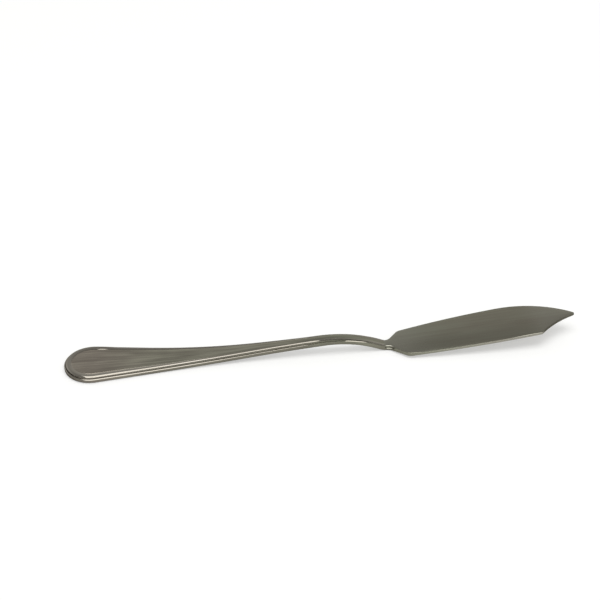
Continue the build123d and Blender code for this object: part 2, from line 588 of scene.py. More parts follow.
@dataclass(frozen=True)
class Steel:
    """Stainless steel strip, coined in a die and then buffed lengthwise.

    The buffing leaves soft streaks along the knife, so reflections smear and the face shows pale and
    dark lines. A colour of painted light covers some points. On the handle it is dark: painted shade in
    the grooves, on the sides, at the end of the tail and underneath. On the blade it is pale: painted
    highlights on the border's lines at the root, painted reflections on the root and on the side of the
    cutting edge, and a paler tip. The shade is multiplied into the rest as a darker tone on the stem,
    which thins near the heel as a painted reflection, and as painted shade on the blade. The warm tint,
    also multiplied in, is a painted warm reflection.
    """

    name: str
    face: str
    streak: str
    painted_shade_and_sheen: str
    shade: str
    warm: str
    # Where along x the warm tint, a painted warm reflection, is absent and full
    warm_x: tuple[float, float]
    # On the face and in the streaks
    roughness: tuple[float, float]
    streak_width: float
    streak_length: float
    streak_depth: float
    cloud_size: float
    grazing: str = "#A0A09E"
    # A cloud is this many times as long as it is wide
    cloud_ratio: float = 4.0
    # Fine detail of the two noises, and its share
    streak_detail: tuple[float, float] = (3.0, 0.6)
    cloud_detail: tuple[float, float] = (2.0, 0.5)
    # Sums of the two noises that give the plain streak and the plain face
    contrast: tuple[float, float] = (0.72, 1.28)
    bump_strength: float = 0.35

    def material(self) -> bpy.types.Material:
        """Builds the node material.

        Returns:
            A metal whose colour and gloss follow the streaks, the clouds and the recesses.
        """
        material = bpy.data.materials.new(self.name)
        tree = empty_tree(material)
        lay = add_node(tree, "ShaderNodeAttribute", attribute_name="lay").outputs["Vector"]
        painted_shade_and_sheen = add_node(tree, "ShaderNodeAttribute", attribute_name="painted_shade_and_sheen").outputs["Fac"]
        shaded = add_node(tree, "ShaderNodeAttribute", attribute_name="tone").outputs["Fac"]
        # Noise of scale 1 repeats at 1, so the lay is divided by the real length and width of a streak
        # of the wheel, and of a broad cloud where it pressed harder
        grains = ((self.streak_length, self.streak_width, self.streak_detail),
                  (self.cloud_ratio * self.cloud_size, self.cloud_size, self.cloud_detail))
        noises = []
        for length, width, (detail, share) in grains:
            spread = add_node(tree, "ShaderNodeMapping",
                              {"Vector": lay, "Scale": (1.0 / length, 1.0 / width, 1.0)})
            noise = add_node(tree, "ShaderNodeTexNoise",
                             {"Vector": spread.outputs["Vector"], "Scale": 1.0, "Detail": detail,
                              "Roughness": share})
            noises.append(noise.outputs["Fac"])
        streaks, clouds = noises
        both = add_node(tree, "ShaderNodeMath", {0: streaks, 1: clouds}, operation="ADD")
        buffed = add_node(tree, "ShaderNodeMapRange",
                          {"Value": both.outputs[0], "From Min": self.contrast[0],
                           "From Max": self.contrast[1]}).outputs["Result"]
        place = add_node(tree, "ShaderNodeSeparateXYZ", {"Vector": lay}).outputs["X"]
        warmth = add_node(tree, "ShaderNodeMapRange",
                          {"Value": place, "From Min": self.warm_x[0],
                           "From Max": self.warm_x[1]}).outputs["Result"]
        # Each layer covers or tints what lies under it by its share. The warm tint is a painted warm
        # reflection. The shade is a darker tone on the stem and painted shade on the blade. The last
        # colour is painted shade on the handle and painted highlights and reflections on the blade
        layers = ((buffed, self.face, "MIX"), (warmth, self.warm, "MULTIPLY"),
                  (shaded, self.shade, "MULTIPLY"), (painted_shade_and_sheen, self.painted_shade_and_sheen, "MIX"))
        colour = linear_colour(self.streak)
        for share, code, blend in layers:
            mixed = add_node(tree, "ShaderNodeMix",
                             {MIX_SHARE: share, MIX_FIRST: colour, MIX_SECOND: linear_colour(code)},
                             data_type="RGBA", blend_type=blend)
            colour = mixed.outputs[MIX_RESULT]
        gloss = add_node(tree, "ShaderNodeMapRange",
                         {"Value": buffed, "To Min": self.roughness[1], "To Max": self.roughness[0]})
        bump = add_node(tree, "ShaderNodeBump",
                        {"Height": streaks, "Strength": self.bump_strength,
                         "Distance": self.streak_depth * MM})
        shader = add_node(tree, "ShaderNodeBsdfPrincipled",
                          {"Base Color": colour, "Metallic": 1.0,
                           "Specular Tint": linear_colour(self.grazing),
                           "Roughness": gloss.outputs["Result"], "Normal": bump.outputs["Normal"]})
        add_node(tree, "ShaderNodeOutputMaterial", {"Surface": shader.outputs["BSDF"]})
        return material


# Buffed with a fine wheel: an even satin grey with faint streaks, with painted highlights and reflections
# in a paler colour and painted shade in a darker one
BLADE_STEEL = Steel(
    name="stainless_buffed_blade", face="#898A7B", streak="#7E7B6E", painted_shade_and_sheen="#A09E94",
    shade="#B8B8B6", warm="#FFFBFC", warm_x=(136.0, 156.0), roughness=(0.2, 0.28), streak_width=0.8,
    streak_length=60.0, streak_depth=0.001, cloud_size=7.0)
# Buffed with a coarser wheel: clear streaks and clouds on the field, and painted shade in the grooves, on
# the sides and underneath
HANDLE_STEEL = Steel(
    name="stainless_buffed_handle", face="#A5A392", streak="#79756A", painted_shade_and_sheen="#504D46",
    shade="#E8ECE9", warm="#FFF7FC", warm_x=(36.0, 12.0), roughness=(0.2, 0.3), streak_width=1.1,
    streak_length=60.0, streak_depth=0.002, cloud_size=5.0)
# Polished on the raised lines, which the wheel reaches best: smooth, so they catch the lamp
THREAD_STEEL = Steel(
    name="stainless_polished_thread", face="#98938A", streak="#908B80", painted_shade_and_sheen="#6F6C62",
    shade="#F6F8F5", warm="#FFFFFF", warm_x=(0.0, 1.0), roughness=(0.1, 0.15), streak_width=0.6,
    streak_length=20.0, streak_depth=0.001, cloud_size=5.0)


@dataclass(frozen=True)
class Placing:
    """Carries plan millimetres into the part's own frame in metres."""

    tail_x: float
    centre_y: float

    @classmethod
    def from_frame(cls) -> Placing:
        """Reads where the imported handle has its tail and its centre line."""
        low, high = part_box("handle")
        return cls(low.x, (low.y + high.y) / 2.0)

    def apply(self, points: Array) -> Array:
        """The points in metres, in the part's own frame."""
        return points * MM + np.array([self.tail_x, self.centre_y, 0.0])


@dataclass
class Shell:
    """A closed surface in the making: patches of a grid, and the caps at its ends."""

    points: list[Array] = field(default_factory=list)
    lay: list[Array] = field(default_factory=list)
    painted_shade_and_sheen: list[Array] = field(default_factory=list)
    tone: list[Array] = field(default_factory=list)
    quads: list[Array] = field(default_factory=list)
    caps: list[Array] = field(default_factory=list)
    creases: list[Array] = field(default_factory=list)
    size: int = 0

    def add_grid(self, grid: Array, lay: Array, painted_shade_and_sheen: Array, tone: Array, flip: bool = False,
                 wrap: bool = False) -> Array:
        """Adds one patch: rows along the knife by columns across it.

        Args:
            grid: Points, rows by columns by three.
            lay: Place in the buffing in millimetres, along and across, for each point.
            painted_shade_and_sheen: Share at each point of the finish's colour for painted shade and
                painted highlights, from 0 to 1.
            tone: Share of the finish's shade at each point, from 0 to 1.
            flip: Turns the faces round, for a mirrored patch.
            wrap: Joins the last column to the first.

        Returns:
            Numbers of the points, rows by columns.
        """
        rows, columns = grid.shape[:2]
        index = self.size + np.arange(rows * columns).reshape(rows, columns)
        ring = np.concatenate([index, index[:, :1]], axis=1) if wrap else index
        faces = np.stack([ring[:-1, :-1], ring[1:, :-1], ring[1:, 1:], ring[:-1, 1:]], axis=-1)
        faces = faces.reshape(-1, 4)
        self.points.append(grid.reshape(-1, 3))
        self.lay.append(np.broadcast_to(lay, (rows, columns, 2)).reshape(-1, 2))
        self.painted_shade_and_sheen.append(np.broadcast_to(painted_shade_and_sheen, (rows, columns)).reshape(-1))
        self.tone.append(np.broadcast_to(tone, (rows, columns)).reshape(-1))
        self.quads.append(faces[:, ::-1] if flip else faces)
        self.size += rows * columns
        return index

    def faces(self, which: Array) -> list[list[int]]:
        """Faces of the surface once equal points are one.

        Args:
            which: Number of the merged point that each point became.

        Returns:
            Quads, triangles where a quad has two equal corners at a pole, and the caps.
        """
        quads = which[np.concatenate(self.quads)]
        same = quads == np.roll(quads, -1, axis=1)
        whole = quads[~same.any(axis=1)]
        single = same.sum(axis=1) == 1
        # The first of the two equal corners goes to the end of the order and is left out
        kept = np.argsort(same[single], axis=1, kind="stable")[:, :3]
        kept.sort(axis=1)
        triangles = np.take_along_axis(quads[single], kept, axis=1)
        return [*whole.tolist(), *triangles.tolist(), *(which[cap].tolist() for cap in self.caps)]

    def harden(self, mesh: bpy.types.Mesh, which: Array) -> None:
        """Marks the edges of caps and creases as hard.

        Args:
            mesh: The mesh that was made of the surface.
            which: Number of the merged point that each point became.
        """
        ends = np.zeros(len(mesh.edges) * 2, dtype=np.int32)
        mesh.edges.foreach_get("vertices", ends)
        ends = np.sort(ends.reshape(-1, 2), axis=1).astype(np.int64)
        hard = np.zeros(len(ends), dtype=bool)
        for cap in self.caps:
            hard |= np.isin(ends, which[cap]).all(axis=1)
        # Both ends of an edge in one number
        count = len(mesh.vertices)
        codes = ends[:, 0] * count + ends[:, 1]
        for crease in self.creases:
            line = which[crease]
            pairs = np.sort(np.stack([line[:-1], line[1:]], axis=1), axis=1)
            hard |= np.isin(codes, pairs[:, 0] * count + pairs[:, 1])
        mesh.attributes.new("sharp_edge", "BOOLEAN", "EDGE").data.foreach_set("value", hard)

    def piece(self, name: str, placing: Placing, material: bpy.types.Material,
              slot: Slot, node: str) -> bpy.types.Object:
        """Makes the object: equal points become one, and caps and creases get hard edges.

        Args:
            name: The object's name.
            placing: Where the plan lies in the part's frame.
            material: The finish.
            slot: Not used.
            node: The node that it stands for.

        Returns:
            The object, which rides on the body.
        """
        every = np.concatenate(self.points)
        _, first, which = np.unique(np.round(every, MERGE_DECIMALS), axis=0, return_index=True,
                                    return_inverse=True)
        which = which.reshape(-1)
        mesh = bpy.data.meshes.new(name)
        mesh.from_pydata(placing.apply(every[first]).tolist(), [], self.faces(which))
        mesh.update()
        mesh.polygons.foreach_set("use_smooth", np.ones(len(mesh.polygons), dtype=bool))
        self.harden(mesh, which)
        lay = np.concatenate(self.lay)[first]
        lay3 = np.concatenate([lay, np.zeros((len(lay), 1))], axis=1).astype(np.float32)
        mesh.attributes.new("lay", "FLOAT_VECTOR", "POINT").data.foreach_set("vector", lay3.ravel())
        for label, values in (("painted_shade_and_sheen", self.painted_shade_and_sheen), ("tone", self.tone)):
            shares = np.concatenate(values)[first].astype(np.float32)
            mesh.attributes.new(label, "FLOAT", "POINT").data.foreach_set("value", shares)
        mesh.materials.append(material)
        piece = add_object(name, mesh)
        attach(piece, "root")
        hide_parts(node)
        return piece


@dataclass(frozen=True)
class Run:
    """Some points of a section: insets at the tail and on the neck, heights over a face, painted shade."""

    tail: Array
    neck: Array
    level: Level
    lift: Array
    painted_shade_and_sheen: Array | float


@dataclass
class Stem:
    """Handle and neck: a slightly crowned field, a stepped border, upright sides, a flat underside."""

    plan: StemPlan
    profile: SideProfile
    seat_drop: float = 0.3
    field_overlap: float = 0.1
    step_round: float = 0.06
    # Rounds of the upper and the lower rim on the handle, and at the seam to the blade
    ledge_round: float = 0.12
    seam_round: float = 0.7
    under_round: float = 0.6
    under_seam_round: float = 0.25
    # Painted shade on the sides, the end of the tail, the groove and the underside
    side_shade: float = 0.45
    tail_end_shade: float = 1.0
    tail_power: float = 0.6
    groove_shade: float = 0.4
    under_shade: float = 0.35
    # The ledge's rim gets this share of the painted shade on the side under it
    rim_share: float = 0.7
    # Shares by which the painted shade in the groove and on the sides thins out on the neck, and where
    # along x
    groove_shade_thinning: float = 0.8
    side_shade_thinning: float = 0.15
    shade_thinning_x: tuple[float, float] = (85.0, 110.0)
    field_points: int = 18
    under_points: int = 6

    def runs(self, kinds: Array, shares: Array, along: Array, fade: Array) -> list[Run]:
        """Points across one half, from the middle of the top to the middle of the underside.

        Going out from the middle: the field and the lower seat of the inner thread, the step down to
        the ledge, the hollow at its foot, the ledge with a small round, the side with a larger round,
        and the flat underside. The border dies away towards the blade, where the section ends as a
        plain slab with rounded edges.

        Args:
            kinds: Stretch of each station, as a column.
            shares: Share along the stretch, as a column.
            along: Place of each station along the knife, as a column.
            fade: Share by which the border has died away, as a column.

        Returns:
            The runs in order.
        """
        plan = self.plan
        stays = 1.0 - fade
        # The painted shade in the groove and on the sides thins out along the slim neck
        thinning = eased(along, *self.shade_thinning_x)
        groove = self.groove_shade * (1.0 - self.groove_shade_thinning * thinning)
        # The painted shade on the sides is darkest at the end of the tail
        past = np.where(kinds == Stretch.ROUND.value, shares, 1.0)
        at_tail = (self.tail_end_shade - self.side_shade) * (1.0 - past) ** self.tail_power
        side = (self.side_shade + at_tail) * (1.0 - self.side_shade_thinning * thinning)

        middle = (plan.tail_radius, plan.neck_width / 2.0)
        foot = [inset - self.field_overlap for inset in plan.inner_thread_end]
        across = np.append(np.linspace(0.0, 1.0, self.field_points), 1.0)
        seat = np.append(np.zeros(self.field_points), 1.0)
        sunk = self.seat_drop * stays
        small = self.step_round
        edge_round = self.ledge_round + (self.seam_round - self.ledge_round) * fade
        low_round = self.under_round + (self.under_seam_round - self.under_round) * fade
        edge = edge_round * ROUND_IN
        turn = low_round * ROUND_DOWN
        inwards = np.linspace(0.0, 1.0, self.under_points + 1)[1:]
        return [
            Run(*(m + (f - m) * across for m, f in zip(middle, foot)), Level.FIELD, -sunk * seat, 0.0),
            Run(*(inset + small * SMALL_IN for inset in plan.step), Level.FIELD,
                -sunk - small * SMALL_DOWN * stays, groove),
            Run(*(inset - small * SMALL_DOWN for inset in plan.step), Level.LEDGE,
                small * SMALL_IN * stays, groove),
            Run(edge, edge, Level.LEDGE, -edge_round * ROUND_DOWN, self.rim_share * side),
            Run(turn, turn, Level.UNDER, low_round * ROUND_IN, side),
            Run(*(low_round + (m - low_round) * inwards for m in middle), Level.UNDER,
                np.zeros(self.under_points), self.under_shade)]

    def section(self, kinds: Array, shares: Array) -> tuple[Array, Array, Array]:
        """One half of every section, from the middle of the top to the middle of the underside.

        A point is an inset from the outline and a height above or below one of the side profile's
        lines.

        Args:
            kinds: Stretch of each station.
            shares: Share along the stretch.

        Returns:
            Points, places in the buffing and shares of painted shade, stations by section points.
        """
        plan = self.plan
        kinds = kinds[:, None]
        shares = shares[:, None]
        no_inset = np.zeros((1, 1))
        rim = plan.outline(kinds, shares, no_inset, no_inset)[:, 0]
        fade = plan.fade(kinds, shares)
        runs = self.runs(kinds, shares, rim[:, :1], fade)
        rows = np.ones_like(fade)
        tail_inset = np.concatenate([rows * run.tail for run in runs], axis=1)
        neck_inset = np.concatenate([rows * run.neck for run in runs], axis=1)
        lift = np.concatenate([rows * run.lift for run in runs], axis=1)
        painted_shade_and_sheen = np.concatenate([run.painted_shade_and_sheen * np.ones_like(rows * run.tail) for run in runs], axis=1)
        level = np.concatenate([np.full(run.tail.shape[-1], run.level.value) for run in runs])

        flat = plan.outline(kinds, shares, tail_inset, neck_inset)
        flat[:, (0, -1), 1] = 0.0
        x = flat[..., 0]
        top = self.profile.top(x)
        heights = {Level.FIELD: top + plan.crowned(x, tail_inset),
                   Level.LEDGE: top - self.profile.ledge_drop(x) * (1.0 - fade),
                   Level.UNDER: self.profile.under(x)}
        z = lift + np.select([level == face.value for face in heights], list(heights.values()))
        # The buffing follows the taper, so it is measured in shares of the width at the same x
        tapers = rim[:, 0] > plan.tail_radius
        width = np.interp(x, rim[tapers, 0], rim[tapers, 1], left=plan.tail_radius)
        lay = np.stack([x, flat[..., 1] / width * plan.tail_radius], axis=-1)
        return np.concatenate([flat, z[..., None]], axis=-1), lay, painted_shade_and_sheen

    def shell(self, kinds: Array, shares: Array, start_cap: bool) -> Shell:
        """Both halves of a stretch of the stem, closed at its end.

        Args:
            kinds: Stretch of each station.
            shares: Share along the stretch.
            start_cap: Closes the start too. The tail needs no cap there.

        Returns:
            The closed surface.
        """
        points, lay, painted_shade_and_sheen = self.section(kinds, shares)
        mirror = np.array([1.0, -1.0, 1.0])
        tone = self.plan.tone(points[..., 0])
        shell = Shell()
        back = shell.add_grid(points, lay, painted_shade_and_sheen, tone)
        edge = shell.add_grid(points * mirror, lay * mirror[:2], painted_shade_and_sheen, tone, flip=True)
        ends = [(-1, 1), (0, -1)] if start_cap else [(-1, 1)]
        for row, direction in ends:
            ring = np.concatenate([edge[row, :], back[row, -2:0:-1]])
            shell.caps.append(ring[::direction])
        return shell

    def build(self, placing: Placing, material: bpy.types.Material) -> list[bpy.types.Object]:
        """Makes the handle and the neck.

        Args:
            placing: Where the plan lies in the part's frame.
            material: The finish.

        Returns:
            The two objects.
        """
        handle = self.shell(*self.plan.along_handle(), start_cap=False)
        neck = self.shell(*self.plan.along_neck(self.plan.neck_end), start_cap=True)
        return [handle.piece("handle_body", placing, material, Slot.HANDLE, "handle"),
                neck.piece("neck_body", placing, material, Slot.HANDLE, "neck")]


@dataclass(frozen=True)
class ThreadSection:
    """Points across a thread, from the outer foot over the crest to the inner one and back below.

    Insets are at the tail and on the neck. The rest are shares: of the thread's rise, of the sinking
    of its underside, of the wear of its outer slope, and of a swell.
    """

    tail_inset: Array
    neck_inset: Array
    rise: Array
    below: Array
    outer: Array
    swell: Array


@dataclass
class BorderThread:
    """A raised thread round the border: a sloped outer side and a soft inner one under a ridge."""

    name: str
    node: str
    level: Level
    plan: StemPlan
    profile: SideProfile
    # Insets of the outer foot, the crest and the inner foot, at the tail and along the neck
    start: tuple[float, float]
    crest: tuple[float, float]
    end: tuple[float, float]
    # Height of the outer foot over the face, the crest's rise above it, and the inner foot's share
    foot: float
    rise: float
    inner_share: float
    inner_power: float
    # The rise shrinks to this share by this x
    slims_to: float
    slim_end: float
    # Where along x it sinks into the face, how deep it then lies, and where it comes out again
    sunk: tuple[float, float]
    bury: float
    risen: tuple[float, float] | None = None
    # How far its outer slope is worn down where it is sunk
    worn_drop: float = 0.0
    # How far it moves in where it dies away
    runs_in: float = 0.0
    # Where the die left the thread higher on the back's side: middle and half length along x, height
    swells: tuple[tuple[float, float, float], ...] = ()
    end_x: float = 123.9
    sink: float = 0.15
    ridge: float = 1.3
    slope_points: int = 9

    def section(self) -> ThreadSection:
        """Points across the thread.

        From the outline inwards, its top rises to the crest as 1 - s^p, where s falls from 1 to 0 and
        p is a little over 1, so it is an even slope under a soft ridge. It falls to the inner foot in
        the same way with a power of its own. Three points lie on the flat underside.

        Returns:
            The section, which is the same all along.
        """
        up = np.linspace(1.0, 0.0, self.slope_points)
        down = np.linspace(0.0, 1.0, self.slope_points)[1:]
        climb = 1.0 - up ** self.ridge
        fall = down ** self.inner_power
        insets = [np.concatenate([crest + (first - crest) * up, crest + (last - crest) * down,
                                  [last, crest, first]])
                  for first, crest, last in zip(self.start, self.crest, self.end)]
        under = np.zeros(3)
        return ThreadSection(
            *insets, rise=np.concatenate([climb, 1.0 - (1.0 - self.inner_share) * fall, under]),
            below=np.concatenate([np.zeros(up.size + down.size), np.ones(under.size)]),
            outer=np.concatenate([up, np.zeros(down.size), [0.0, 0.0, 1.0]]),
            swell=np.concatenate([climb, 1.0 - fall, under]))

    def heights(self, x: Array, fade: Array, section: ThreadSection) -> Array:
        """Heights of the thread on both sides of the knife, without the swells.

        It sinks into the face where the neck is rubbed, may rise out of it again, and dies away at
        the end of the neck. Its flat underside is sunk a little into the face that it stands on.

        Args:
            x: Places along the knife, stations by section points.
            fade: Share by which the border has died away, as a column.
            section: The points across.

        Returns:
            Heights, stations by section points.
        """
        plan = self.plan
        sunk = eased(x, *self.sunk)
        risen = eased(x, *self.risen) if self.risen else np.zeros_like(x)
        along = np.clip((x - plan.tail_radius) / (self.slim_end - plan.tail_radius), 0.0, 1.0)
        slim = 1.0 + (self.slims_to - 1.0) * along
        stands = ((1.0 - sunk) * slim + risen) * (1.0 - fade)
        base = self.profile.top(x)
        if self.level is Level.LEDGE:
            base = base - self.profile.ledge_drop(x) * (1.0 - fade)
        else:
            base = base + plan.crowned(x, section.tail_inset)
        buried = self.bury * np.clip(sunk - risen + fade, 0.0, 1.0)
        worn = self.worn_drop * section.outer * sunk * (1.0 - plan.flattened(x))
        z = base + (self.foot + self.rise * section.rise) * stands
        return z - buried - worn - self.sink * section.below

    def build(self, placing: Placing, material: bpy.types.Material) -> bpy.types.Object:
        """Makes the thread: its section carried along the border, where its width follows the insets.

        Args:
            placing: Where the plan lies in the part's frame.
            material: The finish.

        Returns:
            The thread's object.
        """
        plan = self.plan
        section = self.section()
        # The first station on the neck is the last on the handle
        kinds, shares = (np.concatenate([handle, neck[1:]])[:, None] for handle, neck in
                         zip(plan.along_handle(), plan.along_neck(self.end_x)))
        fade = plan.fade(kinds, shares)
        flat = plan.outline(kinds, shares, section.tail_inset,
                            section.neck_inset + self.runs_in * fade)
        x = flat[..., 0]
        z = self.heights(x, fade, section)
        swell = sum((height * hump(x, middle, half) for middle, half, height in self.swells),
                    np.zeros_like(x))
        raised = z + swell * section.swell
        edge = np.concatenate([flat * np.array([1.0, -1.0]), z[..., None]], axis=-1)
        back = np.concatenate([flat, raised[..., None]], axis=-1)
        # The path runs from the neck along the edge's side, round the tail and back on the other
        grid = np.concatenate([edge[::-1], back[1:]])
        length = np.concatenate([-x[::-1, :1], x[1:, :1]])
        lay = np.stack(np.broadcast_arrays(length, section.tail_inset), axis=-1)
        shell = Shell()
        index = shell.add_grid(grid, lay, np.zeros(1), plan.tone(grid[..., 0]), wrap=True, flip=True)
        shell.caps += [index[0], index[-1][::-1]]
        # Hard edges along the outer and the inner foot
        shell.creases += [index[:, 0], index[:, 2 * self.slope_points - 2]]
        return shell.piece(self.name, placing, material, Slot.THREAD, self.node)


@dataclass(frozen=True)
class BladeSide:
    """One side of the blade's outline: its stations, and the level direction out of each."""

    place: Array
    outward: Array

    @property
    def along(self) -> Array:
        """Place of each station along the knife, as a column."""
        return self.place[:, :1]

    def moved_in(self, insets: Array) -> Array:
        """The stations moved in from the outline, stations by insets by x and y."""
        return self.place[:, None, :] - self.outward[:, None, :] * insets[:, :, None]


@dataclass(frozen=True)
class Ring:
    """Columns of a ring round the blade, in order."""

    face: slice
    edge_rim: slice
    edge_foot: slice
    under: slice
    back_foot: slice
    back_rim: slice

    @classmethod
    def with_face(cls, count: int) -> Ring:
        """Lays out a ring.

        Args:
            count: Columns on the face, and as many on the underside.

        Returns:
            The columns of each face and round.
        """
        turn = ROUND_IN.size
        ends = np.cumsum([0, count, turn, turn, count, turn, turn]).tolist()
        return cls(*(slice(start, end) for start, end in zip(ends, ends[1:])))


@dataclass
class Blade:
    """Flat blade that thins to the tip, with rounded edges, a bevelled cutting edge and a slight crown."""

    plan: BladePlan
    profile: SideProfile
    edge_round: float = 0.25
    root_round: float = 0.7
    root_length: float = 4.0
    # The border's two lines run out onto the root: a slope each, with a step between the two
    line_width: float = 0.33
    line_drop: float = 0.16
    step_lean: float = 0.04
    step_drop: float = 0.72
    run_out_x: tuple[float, float, float, float] = (124.0, 124.7, 126.8, 127.8)
    # Painted highlight and painted shade at each point of the run-out's rim, and which points are hard
    # corners
    line_pale: tuple[float, ...] = (0.5, 0.8, 0.0, 0.0, 0.5, 0.2, 0.0)
    line_dark: tuple[float, ...] = (0.0, 0.0, 0.9, 1.0, 0.0, 0.0, 0.8)
    line_corners: tuple[int, ...] = (0, 2, 3, 5)
    # Where the wheel took more off the cutting edge: middle, half length and round, along x
    worn: tuple[tuple[float, float, float], ...] = ((134.5, 3.0, 0.6), (179.5, 8.0, 0.55))
    # The cutting edge's side: it starts at this point of the rim, is painted paler towards the notch, and
    # has painted shade in the notch and near the shoulder
    side_start: int = 2
    side_pale: float = 0.65
    notch_x: float = 185.0
    notch_run: float = 1.5
    shoulder_dark: float = 0.4
    shoulder_x: tuple[float, float] = (130.0, 137.0)
    # Paler ends of the face: a painted reflection of the bend at the root, and a paler tip
    root_pale: float = 0.4
    root_pale_length: float = 26.0
    tip_pale: float = 0.3
    tip_x: tuple[float, float] = (178.0, 190.0)
    # The cutting edge is thinned from above to this thickness, from this far in, and between two x
    edge_thickness: float = 1.05
    bevel_width: float = 9.0
    bevel_x: tuple[float, float] = (126.0, 142.0)
    crown: float = 0.3
    roll: float = 0.06
    roll_width: float = 0.5
    stations: int = 420
    # Columns of the face as shares of its width: close together near both rims, even between
    rim_shares: tuple[float, ...] = (0.008, 0.016, 0.028, 0.044, 0.065)
    even_start: float = 0.09
    even_count: int = 18

    def sides(self, share: Array) -> tuple[BladeSide, BladeSide]:
        """Stations along the back and along the cutting edge.

        Args:
            share: Shares of the length of a side, from the neck to the middle of the tip's round.

        Returns:
            The back's side and the edge's side, which end at the same point.
        """
        places = []
        outward = []
        for line, turn in zip(self.plan.outline(), (1.0, -1.0)):
            place = at_length(line, share * arc_length(line)[-1])
            heading = np.gradient(place, axis=0)
            heading = heading / np.hypot(heading[:, 0], heading[:, 1])[:, None]
            places.append(place)
            outward.append(np.stack([-heading[:, 1], heading[:, 0]], axis=-1) * turn)
        tip = outward[0][-2] + outward[1][-2]
        for directions in outward:
            directions[-1] = unit(tip)
        return BladeSide(places[0], outward[0]), BladeSide(places[1], outward[1])

    def across(self) -> Array:
        """Columns of the face as shares of its width, from the back to the edge."""
        even = np.linspace(self.even_start, 1.0 - self.even_start, self.even_count)
        return np.concatenate([self.rim_shares, even, 1.0 - np.array(self.rim_shares)[::-1]])

    def run_out(self, along: Array) -> Array:
        """Share by which the border's lines show on the root."""
        start, full, thins, end = self.run_out_x
        return eased(along, start, full) * (1.0 - eased(along, thins, end))

    def worn_off(self, along: Array) -> Array:
        """What the wheel added to the round of the cutting edge."""
        return sum(((radius - self.edge_round) * hump(along, middle, half)
                    for middle, half, radius in self.worn), np.zeros_like(along))

    def thinned(self, along: Array) -> Array:
        """How much the bevel takes off the cutting edge at its rim."""
        spare = self.profile.top(along) - self.profile.under(along) - self.edge_thickness
        return np.maximum(spare, 0.0) * eased(along, *self.bevel_x)

    def rolled(self, inwards: Array) -> Array:
        """How far the buffing rolled the face over: an exponential of the distance in from a rim."""
        return self.roll * np.exp(-inwards / self.roll_width)

    def upper_rim(self, along: Array, worn: Array | float, lines: Array | float) -> tuple[Array, Array]:
        """Inset and drop of the points of an upper rim.

        The rim is a quarter round, larger at the root and where the wheel wore it. Where the
        border's lines run out it becomes a slope, a step and a second slope.

        Args:
            along: Place of each station along the knife, as a column.
            worn: What the wheel adds to the round.
            lines: Share by which the lines show.

        Returns:
            Insets from the outline and drops from the face, stations by points.
        """
        past_root = eased(along, self.plan.neck_end, self.plan.neck_end + self.root_length)
        radius = self.root_round + (self.edge_round - self.root_round) * past_root + worn
        # Widths of a line in from the outline, slopes of a line down, and 1 for points below the step
        widths = np.array([2.0, 1.5, 1.0, 1.0, 0.5, 0.0, 0.0])
        slopes = np.array([0.0, 0.5, 1.0, 0.0, 0.5, 1.0, 1.0])
        lower = np.array([0.0, 0.0, 0.0, 1.0, 1.0, 1.0, 1.0])
        insets = self.line_width * widths + self.step_lean * (1.0 - lower)
        drops = self.line_drop * slopes + (self.line_drop + self.step_drop) * lower
        drops[-1] += self.step_lean
        return (radius * ROUND_IN * (1.0 - lines) + insets * lines,
                radius * ROUND_DOWN * (1.0 - lines) + drops * lines)

    def face_lift(self, share: Array, width: Array, thinned: Array) -> Array:
        """Heights of the face over the side profile's top line.

        They are a crown that is a parabola across and a sine along, less a roll towards both rims,
        and less a bevel that grows as the square of the way to the cutting edge.

        Args:
            share: Share of the length at each station.
            width: Width of the face there, as a column.
            thinned: What the bevel takes off at the rim there, as a column.

        Returns:
            Heights, stations by columns of the face.
        """
        across = self.across()
        crown = 4.0 * across * (1.0 - across) * self.crown * np.sin(np.pi * share)[:, None]
        from_edge = (1.0 - across) * width
        bevel = thinned * np.clip(1.0 - from_edge / self.bevel_width, 0.0, 1.0) ** 2
        return crown - self.rolled(across * width) - self.rolled(from_edge) - bevel

    def shades(self, along: Array, lines: Array, ring: Ring) -> tuple[Array, Array]:
        """How pale and how dark the points of the rings are: painted highlights, reflections and shade,
        and a paler tip.

        Args:
            along: Place of each station along the knife, as a column.
            lines: Share by which the border's lines show, as a column.
            ring: Columns of a ring.

        Returns:
            Shares of the finish's pale colour and of its shade, stations by columns.
        """
        pale = np.zeros((along.size, ring.back_rim.stop))
        dark = np.zeros_like(pale)
        neck_end = self.plan.neck_end
        side = slice(ring.edge_rim.start + self.side_start, ring.edge_foot.stop)
        # Painted light on the cutting edge's side: paler towards the notch, with painted shade in the
        # notch's hollow and near the shoulder
        notch_shaded = eased(along, self.notch_x, self.notch_x + self.notch_run)
        pale[:, side] = self.side_pale * (1.0 - notch_shaded) * eased(along, neck_end, self.notch_x)
        dark[:, side] = notch_shaded + self.shoulder_dark * (1.0 - eased(along, *self.shoulder_x))
        # The face is paler at the root, a painted reflection of the bend at the heel, and paler towards
        # the tip
        root = 1.0 - eased(along, neck_end, neck_end + self.root_pale_length)
        pale[:, ring.face] = self.root_pale * root + self.tip_pale * eased(along, *self.tip_x)
        # Painted highlights on the border's lines, and painted shade on the step between them and on the
        # side under them
        pale[:, ring.edge_rim] += (np.array(self.line_pale) - pale[:, ring.edge_rim]) * lines
        dark[:, ring.edge_rim] += (np.array(self.line_dark) - dark[:, ring.edge_rim]) * lines
        dark[:, ring.edge_foot] += (self.line_dark[-1] - dark[:, ring.edge_foot]) * lines
        return pale, dark

